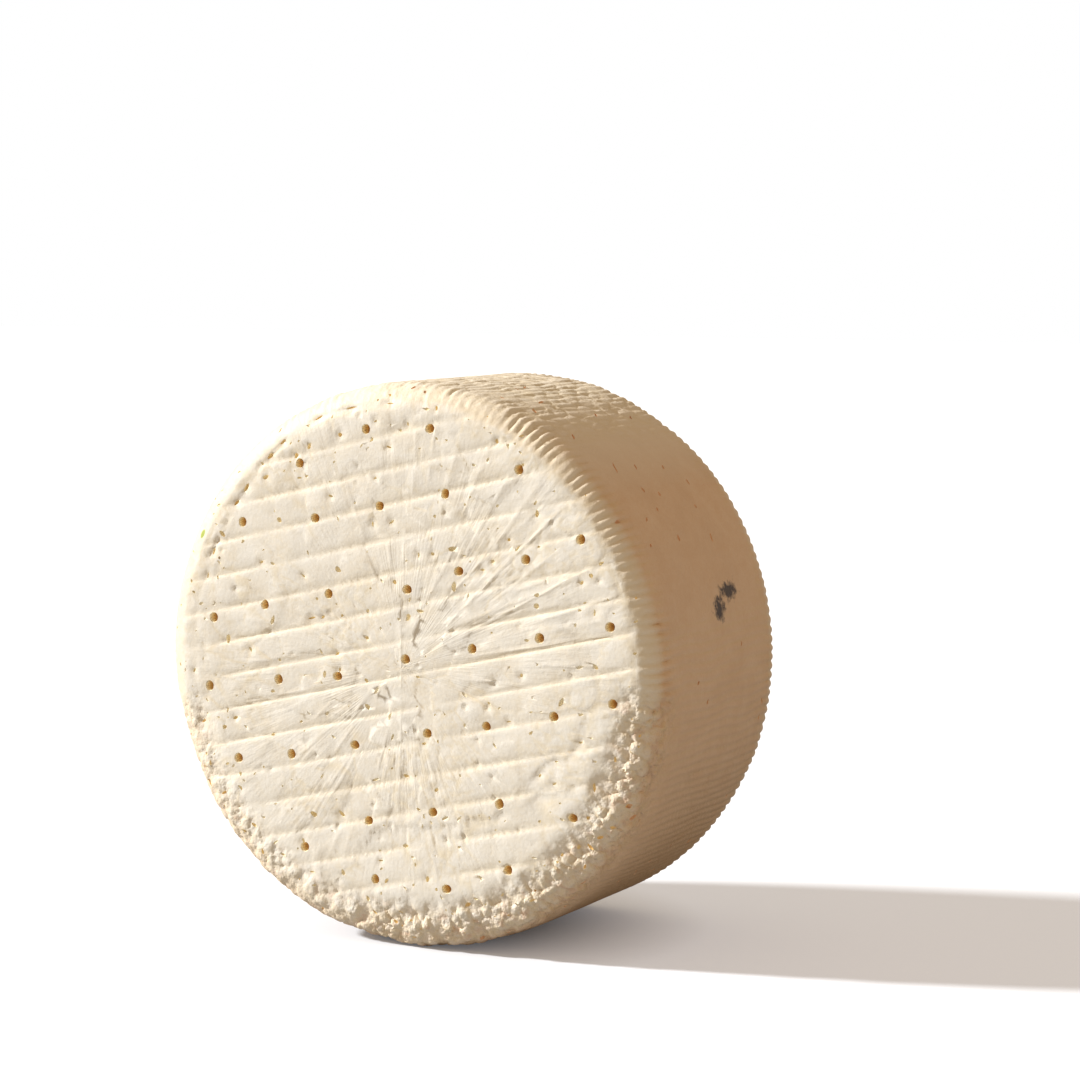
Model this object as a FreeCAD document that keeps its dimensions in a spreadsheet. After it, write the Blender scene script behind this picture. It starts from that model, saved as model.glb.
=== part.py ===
"""A whole blue cheese wheel, standing on its rim.

One solid: a drum whose rim and shoulders carry the ribs of its draining mould, with
flat faces that are marked by the bars of a draining mat and pierced from face to
face by needles.
It is drawn round the wheel's axis, which runs along Y, and then lifted on to its rest
flat: the origin is the middle of that flat, +Z is up and the show face looks to -Y.
Lengths are millimetres, angles are degrees.
"""
import FreeCAD
import Part
import itertools
import math
import os
import Sketcher
from FreeCAD import Placement, Rotation, Vector

SIZES = {
    # the drum
    "wheel_diameter": 195.0,      # over the rib crests
    "wheel_thickness": 95.0,      # face to face
    "front_shoulder": 10.0,       # radius that rounds the show face into the rim
    "back_shoulder": 5.0,         # the same at the far face
    "rest_width": 28.0,           # chord of the flat that the wheel has settled on
    # ribs left by the slats of the mould
    "rib_count": 184,
    "rib_depth": 0.6,
    # grooves left by the bars of the draining mat
    "mat_pitch": 11.55,
    "mat_tilt": 13.0,             # they rise to the right on the show face
    "mat_line_width": 6.0,
    "mat_line_depth": 0.35,
    "mat_offset": -2.2,           # the middle groove, above the wheel's axis
    # holes left by the needle board
    "needle_pitch": 26.3,
    "needle_tilt": 11.4,
    "needle_edge": 18.5,          # from the rim in to the outer ring of needles
    "needle_diameter": 3.0,
    "needle_offset_x": 1.9,       # the board came down a little off centre
    "needle_offset_z": 3.7,
}

FRONT_STEPS = 3     # flats that follow the front shoulder's arc
BACK_STEPS = 2      # flats that follow the back shoulder's arc
NEEDLE_FLATS = 12   # flats round a needle
PASS = 5.0          # how far a cutter reaches beyond what it cuts

# The needle board is a square lattice. Points near its middle are kept as they are,
# and the next ones out are pulled along their own direction on to one ring.
INNER_REACH = 5             # largest i*i + j*j of a needle inside the ring
RING_REACH = (8, 10)        # smallest and largest i*i + j*j of a needle on the ring
STRAYS = {                  # needles that bent and went in astray, and by how much
    (0, 1): (6.0, -2.0),
    (2, -2): (-2.0, -5.0),
    (3, 1): (-2.0, 4.5),
    (-1, 3): (-3.0, -3.5),
    (-2, -2): (2.5, -2.5),
    (-3, 0): (-3.0, 1.0),
    (0, -1): (3.0, 1.0),
    (-1, -3): (-3.0, 1.5),
    (-1, 0): (-1.5, -2.5),
}

RADIUS = "sizes.wheel_diameter / 2"
AXIS_HEIGHT = "sqrt(pow(sizes.wheel_diameter / 2; 2) - pow(sizes.rest_width / 2; 2))"


def make_sheet(doc):
    """Write every driving size into one spreadsheet."""
    sheet = doc.addObject("Spreadsheet::Sheet", "sizes")
    for row, (alias, value) in enumerate(SIZES.items(), start=1):
        sheet.set(f"A{row}", alias)
        sheet.set(f"B{row}", str(value))
        sheet.setAlias(f"B{row}", alias)
    doc.recompute()
    return sheet


# ---- the ribbed drum ----

def shoulder(radius, steps, start, end):
    """Points along an arc, each as (drop from the crest, way in from the face)."""
    turns = [start + (end - start) * k / steps for k in range(steps + 1)]
    return [(radius * (1 - math.cos(turn)), radius * (1 - math.sin(turn))) for turn in turns]


def drum_stations(sheet):
    """Crest radius and place along Y of every ring, from the show face to the back."""
    crest = sheet.wheel_diameter / 2
    half = sheet.wheel_thickness / 2
    front = shoulder(sheet.front_shoulder, FRONT_STEPS, math.pi / 2, 0)
    back = shoulder(sheet.back_shoulder, BACK_STEPS, 0, math.pi / 2)
    stations = [(crest - drop, inward - half) for drop, inward in front]
    stations += [(crest - drop, half - inward) for drop, inward in back]
    return stations


def rib_ring(sheet, radius, y):
    """Corners of the ribbed outline at one station: crest, valley, crest and so on.

    Every ring is the same outline at another scale, so the facets between two rings
    are flat, and the ribs carry on over the shoulders like the teeth of a comb.
    """
    count = round(sheet.rib_count)
    valley = 1 - sheet.rib_depth / (sheet.wheel_diameter / 2)
    corners = []
    for k in range(2 * count):
        turn = math.pi * k / count
        reach = radius * (valley if k % 2 else 1)
        corners.append(Vector(reach * math.cos(turn), y, reach * math.sin(turn)))
    return corners


def facet(corners):
    """One flat face through these corners."""
    return Part.Face(Part.makePolygon(corners + corners[:1]))


def ribbed_drum(sheet):
    """The solid inside all the rings, closed by a flat face at either end."""
    rings = [rib_ring(sheet, radius, y) for radius, y in drum_stations(sheet)]
    faces = [facet(rings[0]), facet(rings[-1])]
    for near, far in zip(rings, rings[1:]):
        for k in range(len(near)):
            faces.append(facet([near[k - 1], near[k], far[k], far[k - 1]]))
    shell = Part.Shell(faces)
    shell.sewShape()
    return Part.Solid(shell)


# ---- sketches ----

def new_sketch(body, name, role):
    """An empty sketch on the body's origin plane that has this role."""
    sketch = body.newObject("Sketcher::SketchObject", name)
    plane = next(item for item in body.Origin.OriginFeatures if item.Role == role)
    sketch.AttachmentSupport = (plane, [""])
    sketch.MapMode = "FlatFace"
    return sketch


def place_of(sketch, rules):
    """Where two expressions put a point just now."""
    return Vector(*[sketch.evalExpression(rule) for rule in rules], 0)


def hold(sketch, element, point, rules):
    """Hold one point of a sketch where two expressions say."""
    place = place_of(sketch, rules)
    for kind, value, rule in zip(("DistanceX", "DistanceY"), place, rules):
        row = sketch.addConstraint(Sketcher.Constraint(kind, -1, 1, element, point, value))
        sketch.setExpression(f"Constraints[{row}]", rule)


def add_loop(sketch, corners):
    """Draw a closed loop of lines through corners given as pairs of expressions."""
    first = sketch.GeometryCount
    places = [place_of(sketch, rules) for rules in corners]
    for start, end in zip(places, places[1:] + places[:1]):
        sketch.addGeometry(Part.LineSegment(start, end), False)
    for k, rules in enumerate(corners):
        follower = first + (k + 1) % len(corners)
        sketch.addConstraint(Sketcher.Constraint("Coincident", first + k, 2, follower, 1))
        hold(sketch, first + k, 1, rules)


# ---- the pressed slab: rest flat and mat grooves ----

def add_slab(body):
    """The block between the two faces; its underside is the rest flat."""
    sketch = new_sketch(body, "slab_outline", "XZ_Plane")
    side = f"({RADIUS} + {PASS})"
    corners = [
        (f"-{side}", f"-{AXIS_HEIGHT}"),
        (side, f"-{AXIS_HEIGHT}"),
        (side, side),
        (f"-{side}", side),
    ]
    add_loop(sketch, corners)
    slab = body.newObject("PartDesign::Pad", "slab")
    slab.Profile = sketch
    slab.Midplane = True
    slab.setExpression("Length", "sizes.wheel_thickness")


def add_mat_grooves(body):
    """Shallow grooves along the bars of the mat, repeated across both faces."""
    sketch = new_sketch(body, "mat_groove_profile", "YZ_Plane")
    tilt = Rotation(Vector(1, 0, 0), -SIZES["mat_tilt"])
    sketch.AttachmentOffset = Placement(Vector(), tilt)
    sketch.setExpression("AttachmentOffset.Rotation.Angle", "-sizes.mat_tilt")
    each_way = f"floor({RADIUS} / sizes.mat_pitch)"
    lowest = f"(sizes.mat_offset - {each_way} * sizes.mat_pitch)"
    low = f"{lowest} - sizes.mat_line_width / 2"
    high = f"{lowest} + sizes.mat_line_width / 2"
    half = "sizes.wheel_thickness / 2"
    for side in ("-", ""):
        face = f"{side}({half})"
        bottom = f"{side}({half} - sizes.mat_line_depth)"
        outside = f"{side}({half} + {PASS})"
        corners = [(face, low), (bottom, lowest), (face, high), (outside, high), (outside, low)]
        add_loop(sketch, corners)
    groove = body.newObject("PartDesign::Pocket", "mat_groove")
    groove.Profile = sketch
    groove.Type = "ThroughAll"
    groove.Midplane = True
    grooves = body.newObject("PartDesign::LinearPattern", "mat_grooves")
    grooves.Originals = [groove]
    grooves.Direction = (sketch, ["V_Axis"])
    grooves.setExpression("Length", f"2 * {each_way} * sizes.mat_pitch")
    grooves.setExpression("Occurrences", f"2 * {each_way} + 1")
    body.Tip = grooves


# ---- the needles ----

def needle_places():
    """Where each needle enters the face, as two expressions from the wheel's axis."""
    cosine = "cos(sizes.needle_tilt * 1deg)"
    sine = "sin(sizes.needle_tilt * 1deg)"
    reach = math.isqrt(RING_REACH[1])
    span = range(-reach, reach + 1)
    places = []
    for i, j in itertools.product(span, span):
        square = i * i + j * j
        if square <= INNER_REACH:
            scale = "sizes.needle_pitch"
        elif RING_REACH[0] <= square <= RING_REACH[1]:
            scale = f"({RADIUS} - sizes.needle_edge) / sqrt({square})"
        else:
            continue
        stray_x, stray_z = STRAYS.get((i, j), (0.0, 0.0))
        across = f"{scale} * (({i}) * {cosine} - ({j}) * {sine})"
        upward = f"{scale} * (({i}) * {sine} + ({j}) * {cosine})"
        places.append((
            f"{across} + sizes.needle_offset_x + ({stray_x})",
            f"{upward} + sizes.needle_offset_z + ({stray_z})",
        ))
    return places


def needle_board(doc):
    """One long needle for every hole, each with a few flats round it."""
    needles = []
    for k, (x_rule, z_rule) in enumerate(needle_places()):
        needle = doc.addObject("Part::Prism", f"needle_{k:02d}")
        needle.Polygon = NEEDLE_FLATS
        needle.setExpression("Circumradius", "sizes.needle_diameter / 2")
        needle.setExpression("Height", f"sizes.wheel_thickness + 2 * {PASS}")
        needle.Placement = Placement(Vector(), Rotation(Vector(1, 0, 0), -90))
        needle.setExpression("Placement.Base.x", x_rule)
        needle.setExpression("Placement.Base.y", f"-sizes.wheel_thickness / 2 - {PASS}")
        needle.setExpression("Placement.Base.z", z_rule)
        needles.append(needle)
    board = doc.addObject("Part::Compound", "needle_board")
    board.Links = needles
    return board


# ---- the wheel ----

def make_wheel(doc, sheet):
    """The part of the pressed slab that lies inside the ribbed drum, once pierced."""
    drum = doc.addObject("Part::Feature", "ribbed_drum")
    drum.Shape = ribbed_drum(sheet)
    slab = doc.addObject("PartDesign::Body", "pressed_slab")
    add_slab(slab)
    add_mat_grooves(slab)
    young = doc.addObject("Part::Common", "unpierced_wheel")
    young.Base = slab
    young.Tool = drum
    wheel = doc.addObject("Part::Cut", "wheel")
    wheel.Label = "cheese_wheel"
    wheel.Base = young
    wheel.Tool = needle_board(doc)
    wheel.setExpression("Placement.Base.z", AXIS_HEIGHT)
    return wheel


def check(doc, pieces):
    """Stop if any object failed or any piece isn't one sound solid."""
    for item in doc.Objects:
        if "Invalid" in item.State or "Error" in item.State:
            raise RuntimeError(f"{item.Label} failed: {item.State}")
    for piece in pieces:
        shape = piece.Shape
        if shape.isNull() or not shape.isValid() or len(shape.Solids) != 1:
            raise RuntimeError(f"{piece.Label} isn't one sound solid")


def export(pieces):
    """Write each piece to a file that carries its label."""
    os.makedirs("parts", exist_ok=True)
    for piece in pieces:
        piece.Shape.exportStep(f"parts/{piece.Label}.step")


document = FreeCAD.newDocument("blue_cheese")
pieces = [make_wheel(document, make_sheet(document))]
document.recompute()
check(document, pieces)
export(pieces)
for piece in pieces:
    litres = piece.Shape.Volume / 1e6
    print(f"{piece.Label}: {len(piece.Shape.Faces)} faces, {litres:.3f} l, {piece.Shape.BoundBox}")
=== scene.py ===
import math
import random
import bmesh
import bpy
import numpy as np
from mathutils import Matrix, Vector, noise
from mathutils.bvhtree import BVHTree


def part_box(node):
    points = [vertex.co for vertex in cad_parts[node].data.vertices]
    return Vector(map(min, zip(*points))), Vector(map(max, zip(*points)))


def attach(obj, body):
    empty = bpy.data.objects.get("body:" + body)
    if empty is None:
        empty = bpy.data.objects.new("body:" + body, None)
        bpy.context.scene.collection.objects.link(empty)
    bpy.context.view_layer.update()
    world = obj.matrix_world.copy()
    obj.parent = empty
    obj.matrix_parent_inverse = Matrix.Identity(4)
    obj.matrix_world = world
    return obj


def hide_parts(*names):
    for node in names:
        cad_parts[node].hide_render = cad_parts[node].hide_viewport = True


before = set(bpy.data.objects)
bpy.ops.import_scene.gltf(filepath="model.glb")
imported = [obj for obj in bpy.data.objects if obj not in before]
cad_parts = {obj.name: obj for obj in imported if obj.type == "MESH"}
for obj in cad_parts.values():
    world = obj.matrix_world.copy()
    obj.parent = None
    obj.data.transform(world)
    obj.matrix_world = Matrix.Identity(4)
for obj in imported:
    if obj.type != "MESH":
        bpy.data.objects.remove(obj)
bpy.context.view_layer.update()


# ---- camera ----
# A long lens at table height, a little to the right of the wheel's axis, so that the
# show face and the right side of the rim are both seen. It looks down a little.
MM = 0.001
LENS_DIP = 5.65              # degrees below level
LENS_TURN = 28.42            # degrees round from the wheel's axis
camera_data = bpy.data.cameras.new("camera")
camera_data.lens = 100.0
camera_data.sensor_width = 36.0
camera = bpy.data.objects.new("camera", camera_data)
camera.location = (520.4 * MM, -909.6 * MM, 240.2 * MM)
camera.rotation_euler = (math.radians(90.0 - LENS_DIP), 0.0, math.radians(LENS_TURN))
bpy.context.collection.objects.link(camera)
bpy.context.scene.camera = camera
bpy.context.scene.view_settings.view_transform = "Standard"


# ---- studio light ----
# One soft key lamp, low on the left and just in front of the show face, so that it
# rakes over the marks in the rind, and an even warm fill from all round.
key_data = bpy.data.lights.new("key_lamp", "SUN")
key_data.energy = 4.95
key_data.angle = math.radians(5.0)
key_data.color = (1.0, 0.99, 0.97)
key_lamp = bpy.data.objects.new("key_lamp", key_data)
key_lamp.rotation_euler = Vector((-0.81, -0.32, 0.49)).to_track_quat("Z", "Y").to_euler()
bpy.context.collection.objects.link(key_lamp)


def put(tree, kind, at, values=None, **settings):
    """Add a node at a place on the sheet, with its settings and its sockets' values."""
    node = tree.nodes.new(kind)
    node.location = at
    for name, value in settings.items():
        setattr(node, name, value)
    for socket, value in (values or {}).items():
        node.inputs[socket].default_value = value
    return node


world = bpy.data.worlds.new("studio")
world.use_nodes = True
bpy.context.scene.world = world
tree = world.node_tree
tree.nodes.clear()
fill = put(tree, "ShaderNodeBackground", (0, 0),
           {"Color": (1.0, 0.755, 0.50, 1.0), "Strength": 0.45})
backdrop = put(tree, "ShaderNodeBackground", (0, -200), {"Color": (1.0, 1.0, 1.0, 1.0)})
seen = put(tree, "ShaderNodeLightPath", (0, 400))
choose = put(tree, "ShaderNodeMixShader", (250, 0))
world_output = put(tree, "ShaderNodeOutputWorld", (450, 0))
tree.links.new(seen.outputs["Is Camera Ray"], choose.inputs[0])
tree.links.new(fill.outputs[0], choose.inputs[1])
tree.links.new(backdrop.outputs[0], choose.inputs[2])
tree.links.new(choose.outputs[0], world_output.inputs["Surface"])


# ---- floor ----
# A matt white table top, with nothing on it but the wheel. It isn't part of the cheese. It
# is darker to the light that bounces off it than to the camera, so that little of that
# light reaches the rim, and away from the wheel it glows faintly, to keep the shade pale.
FLOOR_FOR_LIGHT = (0.38, 0.39, 0.40, 1.0)
FLOOR_FOR_CAMERA = (0.76, 0.80, 0.86, 1.0)
FLOOR_GLOW = (0.300, 0.305, 0.330, 1.0)
bpy.ops.object.select_all(action="DESELECT")
bpy.ops.mesh.primitive_plane_add(size=12.0, location=(0.0, 0.0, 0.0))
floor = bpy.context.object
floor.name = "floor"
paint = bpy.data.materials.new("table_paint")
paint.use_nodes = True
tree = paint.node_tree
paint_shader = tree.nodes["Principled BSDF"]
seen = put(tree, "ShaderNodeLightPath", (-700, 300))
white = put(tree, "ShaderNodeMix", (-250, 300), {6: FLOOR_FOR_LIGHT, 7: FLOOR_FOR_CAMERA},
            data_type="RGBA")
tree.links.new(seen.outputs["Is Camera Ray"], white.inputs[0])
tree.links.new(white.outputs[2], paint_shader.inputs["Base Color"])
ground = put(tree, "ShaderNodeTexCoord", (-900, -100))
out_from = put(tree, "ShaderNodeVectorMath", (-700, -100), operation="LENGTH")
tree.links.new(ground.outputs["Object"], out_from.inputs[0])
open_floor = put(tree, "ShaderNodeMapRange", (-500, -100),
                 {"From Min": 20 * MM, "From Max": 85 * MM, "To Min": 0.1})
tree.links.new(out_from.outputs["Value"], open_floor.inputs["Value"])
glow = put(tree, "ShaderNodeMath", (-250, -100), operation="MULTIPLY")
tree.links.new(seen.outputs["Is Camera Ray"], glow.inputs[0])
tree.links.new(open_floor.outputs[0], glow.inputs[1])
tree.links.new(glow.outputs[0], paint_shader.inputs["Emission Strength"])
paint_shader.inputs["Emission Color"].default_value = FLOOR_GLOW
paint_shader.inputs["Roughness"].default_value = 0.9
paint_shader.inputs["Specular IOR Level"].default_value = 0.1
floor.data.materials.append(paint)


# ---- the wheel: drum turned to size ----
# A pressed drum of curd standing on its rim. Its half section is a rectangle with two
# rounded corners, divided finely enough to carry the print of the mould and the mat.
wheel_low, wheel_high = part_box("cheese_wheel")
RADIUS = (wheel_high.x - wheel_low.x) / 2 / MM
THICKNESS = (wheel_high.y - wheel_low.y) / MM
AXIS = wheel_high.z / MM - RADIUS
FRONT_SHOULDER = 10.0
BACK_SHOULDER = 5.0
RIB_COUNT = 184
SPIN_STEPS = 6 * RIB_COUNT

bpy.ops.object.select_all(action="DESELECT")
bpy.ops.mesh.primitive_plane_add(size=1.0, location=(0.0, 0.0, 0.0))
wheel = bpy.context.object
wheel.name = "blue_cheese_wheel"
for vertex in wheel.data.vertices:
    vertex.co.x = (vertex.co.x + 0.5) * RADIUS * MM
    vertex.co.y = vertex.co.y * THICKNESS * MM


def pick(kind, test):
    """Select only the vertices or edges of the mesh in edit mode that pass a test."""
    bpy.ops.mesh.select_mode(type=kind)
    bpy.ops.mesh.select_all(action="DESELECT")
    bm = bmesh.from_edit_mesh(bpy.context.object.data)
    for item in bm.verts if kind == "VERT" else bm.edges:
        if test(item):
            item.select_set(True)
    bm.select_flush_mode()
    bmesh.update_edit_mesh(bpy.context.object.data)


def middle(edge):
    """The middle of an edge, in mm."""
    return (edge.verts[0].co + edge.verts[1].co) / 2 / MM


bpy.ops.object.mode_set(mode="EDIT")
bpy.ops.mesh.select_all(action="SELECT")
bpy.ops.mesh.delete(type="ONLY_FACE")
pick("EDGE", lambda edge: middle(edge).x < 1.0)
bpy.ops.mesh.delete(type="EDGE")
for side, shoulder, arc in ((-1, FRONT_SHOULDER, 16), (1, BACK_SHOULDER, 9)):
    pick("VERT", lambda corner: corner.co.x > 1.0 * MM and corner.co.y * side > 0
         and len(corner.link_edges) == 2 and abs(abs(corner.co.y) / MM - THICKNESS / 2) < 0.1)
    bpy.ops.mesh.bevel(offset=shoulder * MM, segments=arc, profile=0.5, affect="VERTICES")
for test, cuts in (
    (lambda edge: middle(edge).y < -THICKNESS / 2 + 0.1 and edge.calc_length() > 50 * MM, 200),
    (lambda edge: middle(edge).y > THICKNESS / 2 - 0.1 and edge.calc_length() > 50 * MM, 130),
    (lambda edge: abs(middle(edge).y) < 20 and edge.calc_length() > 50 * MM, 92),
):
    pick("EDGE", test)
    bpy.ops.mesh.subdivide(number_cuts=cuts)
bpy.ops.object.mode_set(mode="OBJECT")
turn = wheel.modifiers.new("turn", "SCREW")
turn.axis = "Y"
turn.steps = turn.render_steps = SPIN_STEPS
bpy.ops.object.modifier_apply(modifier="turn")
bpy.ops.object.mode_set(mode="EDIT")
bpy.ops.mesh.select_all(action="SELECT")
bpy.ops.mesh.remove_doubles(threshold=0.0005 * MM)
bpy.ops.mesh.normals_make_consistent(inside=False)
bpy.ops.object.mode_set(mode="OBJECT")
wheel.data.transform(Matrix.Translation((0.0, 0.0, AXIS * MM)))


# ---- the wheel: marks pressed into the curd ----
# Soft curd takes the print of all it drains against: the bars of the mat on both faces,
# the slats of the mould round the rim, creases of cloth that fan over the faces, and
# its own grains, which never quite close up. All of it is pressed inwards from the drum.
MAT_PITCH = 11.55
MAT_TILT = math.radians(13.0)
MAT_OFFSET = -2.2
MAT_EDGE = 88.5              # radius of the mat's own disc
FACE_LEVEL = 0.50            # the face lies this far inside the drum, its highest creases at 0
RIM_LEVEL = 0.15
GRAIN = 9.5                  # across a large grain of curd

# Creases left by folds of cloth, as raised ridges: place of one end and of the other,
# across and up from the axis, height and half width.
CREASES = (
    (19.3, 10.6, 78.2, 41.2, 0.44, 0.48), (15.7, 14.6, 63.4, 58.8, 0.42, 0.48),
    (21.4, 5.2, 86.3, 17.9, 0.36, 0.48), (44.2, 16.9, 83, 30, 0.34, 0.4),
    (40.3, 28.5, 62.7, 45.3, 0.32, 0.4), (32.8, 39.6, 55.4, 67.6, 0.3, 0.44),
    (40.4, 46.3, 58.7, 60.7, 0.26, 0.36), (24.4, 39.5, 42.8, 69.2, 0.26, 0.36),
    (19.7, 43, 36.9, 83.5, 0.22, 0.32), (16.5, 56.9, 25.8, 87.5, 0.24, 0.36),
    (10.4, 60.3, 14.8, 89.9, 0.24, 0.32), (48.9, 4.6, 85.8, 6.9, 0.2, 0.4),
    (58, 0, 84, 3.2, 0.26, 0.44), (22, -0.7, 50.8, -2.9, 0.32, 0.6),
    (55.9, -10.2, 69.5, -7.4, 0.24, 0.4), (17.9, 15.1, 55.8, 29.9, 0.28, 0.4),
    (39.7, 27.6, 59, 34.5, 0.26, 0.36), (27.4, 24, 47.1, 34.5, 0.28, 0.4),
    (41.1, 21.4, 63.1, 26.1, 0.24, 0.36), (53.5, 17.5, 77.5, 20.8, 0.2, 0.36),
    (12.3, 19.9, 33.4, 40.4, 0.28, 0.4), (7.8, 19.8, 22.9, 45.9, 0.28, 0.4),
    (45.3, 57.7, 62.9, 60.7, 0.22, 0.4), (0.5, 28, 1.8, 49, 0.18, 0.32),
    (-3.7, 32.6, -5.1, 44.6, 0.2, 0.32), (4.4, 55.9, 6.7, 82.8, 0.16, 0.3),
    (-2, 58.9, -3.1, 78.9, 0.16, 0.3), (-10.7, 51.7, -16.9, 72.8, 0.14, 0.3),
    (-11.4, 36.9, -19.5, 57.4, 0.14, 0.3), (-26, -6.2, -79.3, -20.1, 0.26, 0.34),
    (-36.6, -12.7, -52, -19.9, 0.22, 0.4), (-25.6, -10.6, -35.4, -20, 0.18, 0.4),
    (-11.6, -7.2, -20.8, -19.7, 0.2, 0.4), (-27.6, -20.9, -44.1, -35.5, 0.24, 0.36),
    (-31.2, -26, -43.9, -38.8, 0.2, 0.34), (-15.7, -16.3, -29.2, -33.7, 0.24, 0.36),
    (-15.5, -26.4, -29.7, -48.2, 0.26, 0.36), (-20.2, -30.5, -29.6, -43.5, 0.2, 0.3),
    (-23.9, -53.6, -30.7, -70.3, 0.2, 0.34), (-18.8, -53.5, -25, -70.4, 0.18, 0.32),
    (-5.1, -20.1, -9.5, -35.5, 0.2, 0.34), (0.4, -7, -1.7, -49.9, 0.26, 0.34),
    (3.9, -24.8, 6.4, -50.7, 0.18, 0.34), (11.9, -58, 14.2, -73.8, 0.18, 0.32),
    (9, -23.7, 15.6, -46.8, 0.18, 0.34), (17.9, -30.8, 22.8, -41.8, 0.2, 0.36),
    (24.1, -26.6, 33.7, -39.4, 0.2, 0.36), (28.9, -42.9, 36, -55, 0.18, 0.34),
    (81.4, -19.8, 68.2, -24.8, 0.38, 0.64), (36.6, -24.9, 48.3, -35.9, 0.18, 0.36),
    (-74.1, 12.9, -46, 13.5, 0.2, 0.45), (-65, 9.6, -41, 13.1, 0.18, 0.4),
    (-73.4, 5.5, -32.7, 14.3, 0.2, 0.45), (-88.9, -10.8, -72.7, -7.5, 0.28, 0.5),
    (-73.5, -3.7, -43.4, 2.2, 0.24, 0.45), (-72, -15.6, -34.5, -9.4, 0.26, 0.5),
    (22, -1.2, 49, -2.8, 0.34, 0.42), (47.5, 4.5, 74.3, 6, 0.28, 0.42),
    (21.4, 5, 66.2, 13.7, 0.36, 0.45), (-0.3, 22, 0.2, -8, 0.24, 0.36),
    (-56, 16.5, -34, 17.5, 0.14, 0.4),
)

# The larger gaps on the show face: place across and up from the axis, half length, half
# width, depth and turn.
LARGE_GAPS = (
    (-54.3, 63.4, 1.5, 1.1, 1.2, 30), (-36.6, 74.7, 1.3, 0.9, 1.2, 60),
    (-24.1, 78.9, 0.9, 1, 1, 80), (-9.7, 84, 0.8, 0.4, 0.6, 20), (2.8, 83.4, 1, 0.6, 0.4, 90),
    (13.7, 89, 1, 0.6, 0.7, 100), (-4.7, 75.4, 1.2, 0.45, 0.8, 160),
    (-27.9, 57.9, 1.3, 0.6, 0.9, 160), (-9.9, 64.7, 0.7, 0.6, 0.7, 0),
    (-3.6, 50.1, 1.2, 0.6, 0.7, 30), (-11.1, 49.1, 0.5, 1.1, 0.7, 0),
    (6.9, 39.4, 0.5, 1.3, 0.8, 0), (12.4, 40, 1, 0.8, 0.8, 45), (-35.9, 15.5, 1.6, 0.5, 0.9, 10),
    (-31.5, 16.1, 1, 0.6, 0.9, 30), (-13.8, 10, 0.9, 0.7, 0.8, 0),
    (-25.9, 3.7, 0.9, 0.7, 0.8, 60), (-61.2, 3.1, 1.1, 0.6, 0.7, 120),
    (2.9, 17.8, 0.7, 1.8, 1.2, 0), (-2.6, 29.8, 1.2, 0.9, 1.3, 120), (-42, 71.1, 1, 1.1, 1.2, 0),
    (-56.3, 33.8, 0.9, 0.6, 0.6, 30), (-39.1, 29.9, 1, 0.5, 0.6, 150),
    (37, 78.7, 0.7, 0.9, 0.9, 0), (46.8, 71.1, 0.9, 0.6, 0.8, 20), (52.1, 55.2, 0.9, 1.5, 0.7, 0),
    (41.5, 46.1, 0.8, 0.8, 1.1, 0), (52.8, 44.3, 0.9, 0.5, 0.6, 20),
    (35.4, 38.5, 0.8, 0.8, 0.6, 0), (31.6, 35.6, 1.2, 0.5, 0.6, 0), (68.8, 33.3, 0.8, 0.8, 1, 45),
    (73.6, 23.7, 0.5, 1.4, 0.7, 0), (-24.7, -1.8, 0.6, 1.2, 1, 0),
    (-67.8, -21.6, 1.3, 0.7, 0.8, 20), (-81.8, -23.8, 1.2, 0.6, 0.9, 30),
    (-24.3, -51.7, 1.6, 0.7, 1, 140), (-39.9, -62.7, 1.1, 0.7, 1, 100),
    (-36.7, -73.3, 1.5, 0.4, 0.7, 0), (-8.7, -66.6, 0.9, 0.4, 0.6, 0),
    (10, -71, 0.9, 1.3, 1.1, 0), (8.6, -24.7, 1, 0.6, 0.8, 20), (1.4, -36.3, 1.5, 0.8, 0.9, 0),
    (13.6, -40.1, 1, 0.8, 0.9, 30), (13.2, -47.6, 0.8, 0.6, 0.7, 30),
    (-57.4, -68.2, 1.6, 0.8, 1.5, 80), (-73.2, -48.7, 1.4, 0.7, 1.1, 30),
    (25.2, -78.3, 1.5, 0.9, 1.3, 10), (-85, -5.9, 0.8, 0.5, 0.8, 60),
    (65.2, -44.9, 1, 1.5, 1.6, 0), (41.4, -65.4, 1.6, 1.1, 1.8, 150), (41, -68.3, 1, 0.8, 1.4, 0),
    (68.9, -61.3, 1.3, 0.5, 0.7, 60), (46.4, 1.1, 0.7, 0.9, 0.8, 0),
    (68.5, -19.6, 0.8, 0.5, 0.6, 20), (80.7, -24.3, 0.6, 1.3, 0.8, 0),
    (41.4, -14.7, 1.2, 0.4, 0.6, 10), (53.2, -31.9, 0.9, 0.5, 0.6, 60),
    (58.8, -34.1, 0.9, 0.5, 0.6, 30), (73.3, -34.2, 0.6, 1.6, 0.9, 0),
    (74.8, -51, 1.4, 0.8, 1, 20), (71.1, -54.4, 1.8, 0.9, 1.2, -35),
    (-66.9, 53.9, 2.2, 0.7, 1, 50), (-62.6, 59.4, 2.4, 0.8, 1.2, 52), (-58, 65, 2, 0.6, 1, 48),
    (-52.6, 70.7, 1.8, 0.8, 1.2, 40), (-47.5, 75.8, 1.6, 0.5, 0.8, 42),
    (-33, 84.5, 2, 0.4, 0.7, 28), (-20, 88.2, 2.2, 0.35, 0.6, 12), (-4.5, 90, 1.6, 0.35, 0.6, 2),
    (-76.5, 36.5, 1.6, 0.5, 0.8, 70), (-79, 28, 1.3, 0.4, 0.7, 80),
)

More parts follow.
